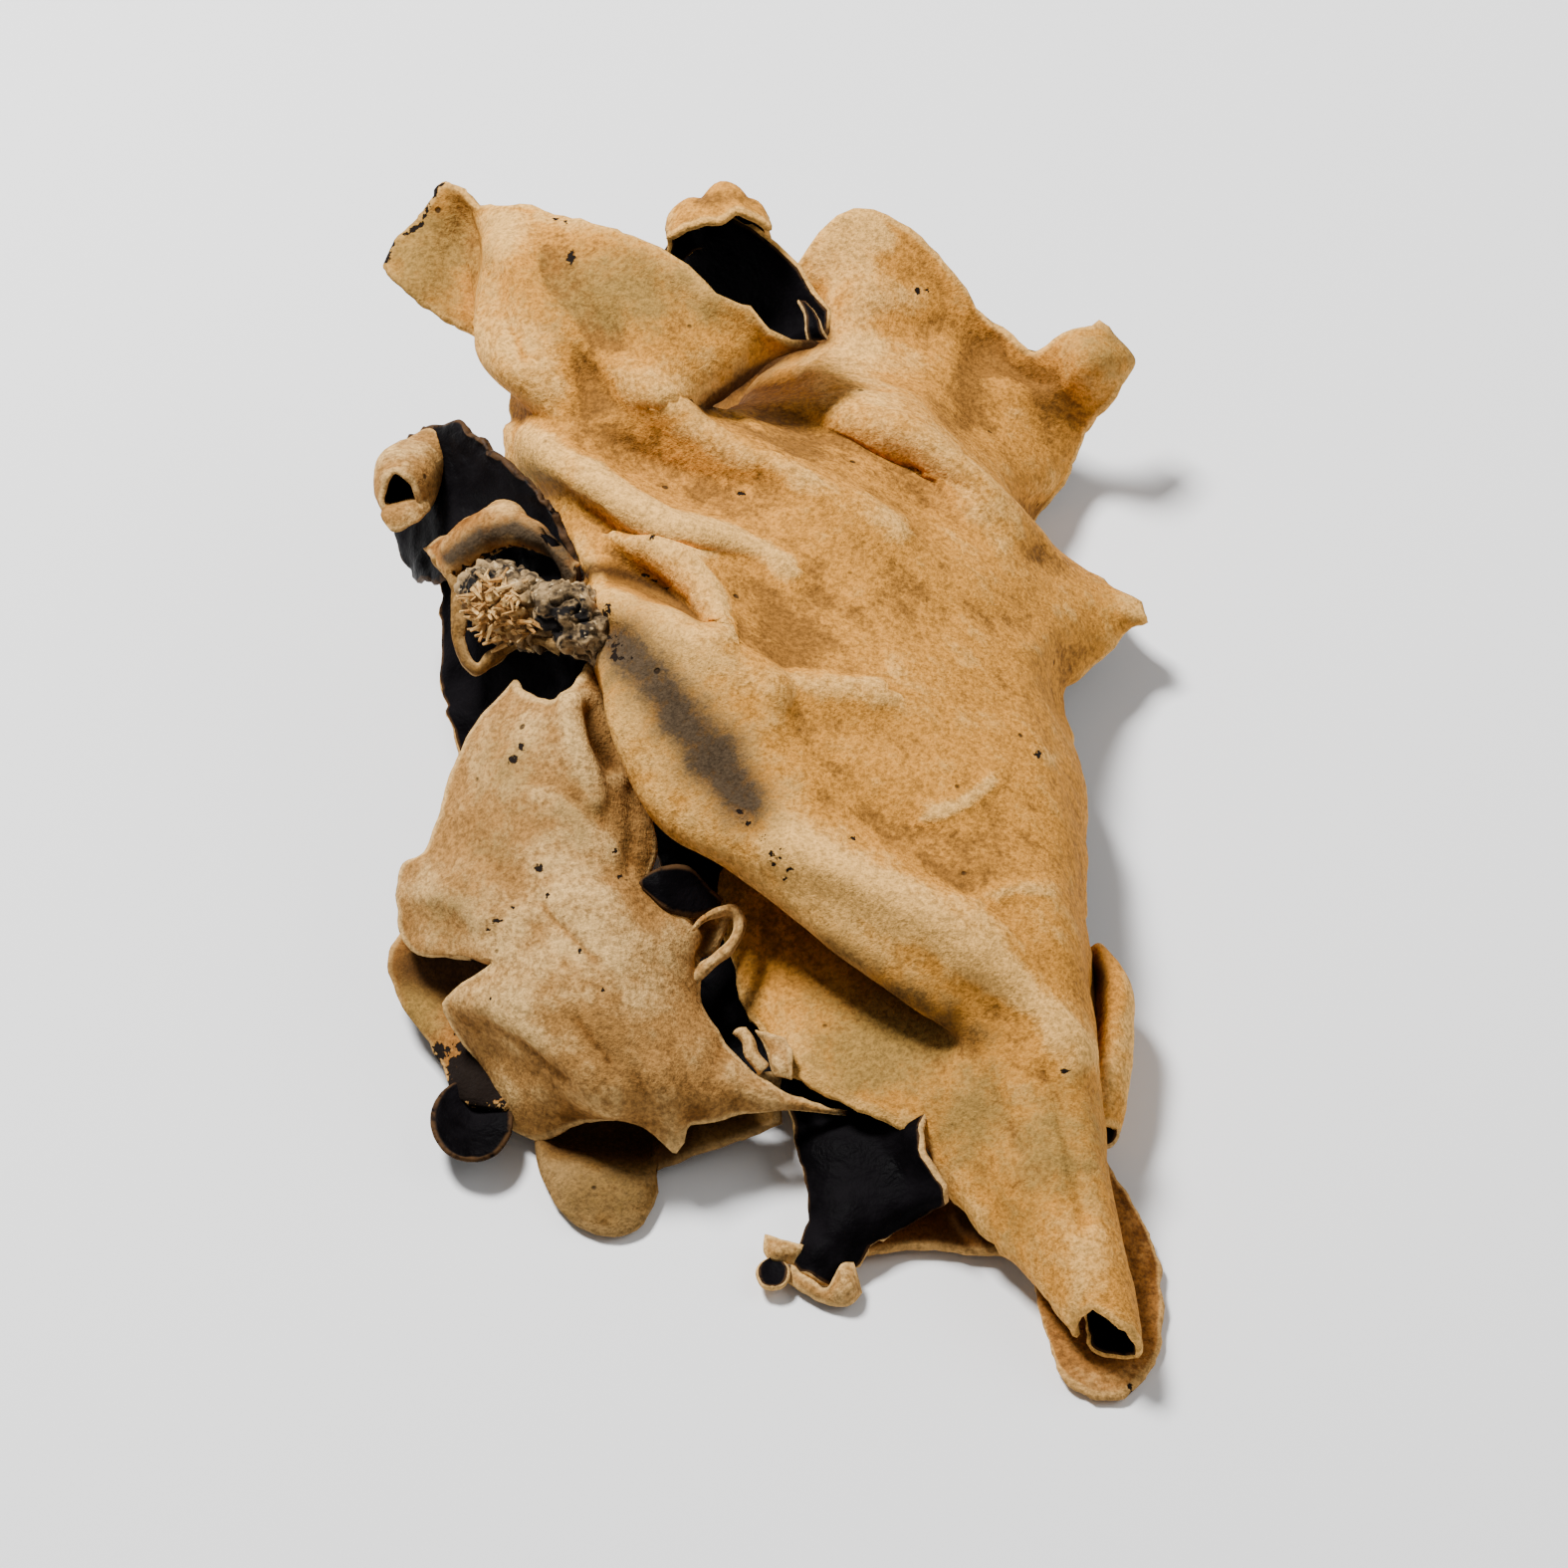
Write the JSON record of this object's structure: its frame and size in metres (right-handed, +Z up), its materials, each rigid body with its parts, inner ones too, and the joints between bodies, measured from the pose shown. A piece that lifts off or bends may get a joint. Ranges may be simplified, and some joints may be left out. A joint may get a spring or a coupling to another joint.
{
  "type": "dried wood ear mushroom",
  "caption": "Large dried hairy wood ear mushroom: a curled, leathery sheet with a tan felted back, a black inner skin, a rolled tail and smaller lobes round a woody holdfast.",
  "frame": {"origin": "centre of the bounding box, on the table the mushroom rests on", "axes": "+Z up, +Y along the clump from its rolled tail towards its top rim, +X to the right of a viewer who stands at the tail"},
  "size_m": [0.1008, 0.1742, 0.0495],
  "materials": {
    "dried_flesh": "dry tan felt outside, black satin skin inside"
  },
  "bodies": {
    "root": {"wood_ear": "dried_flesh"}
  },
  "joints": []
}
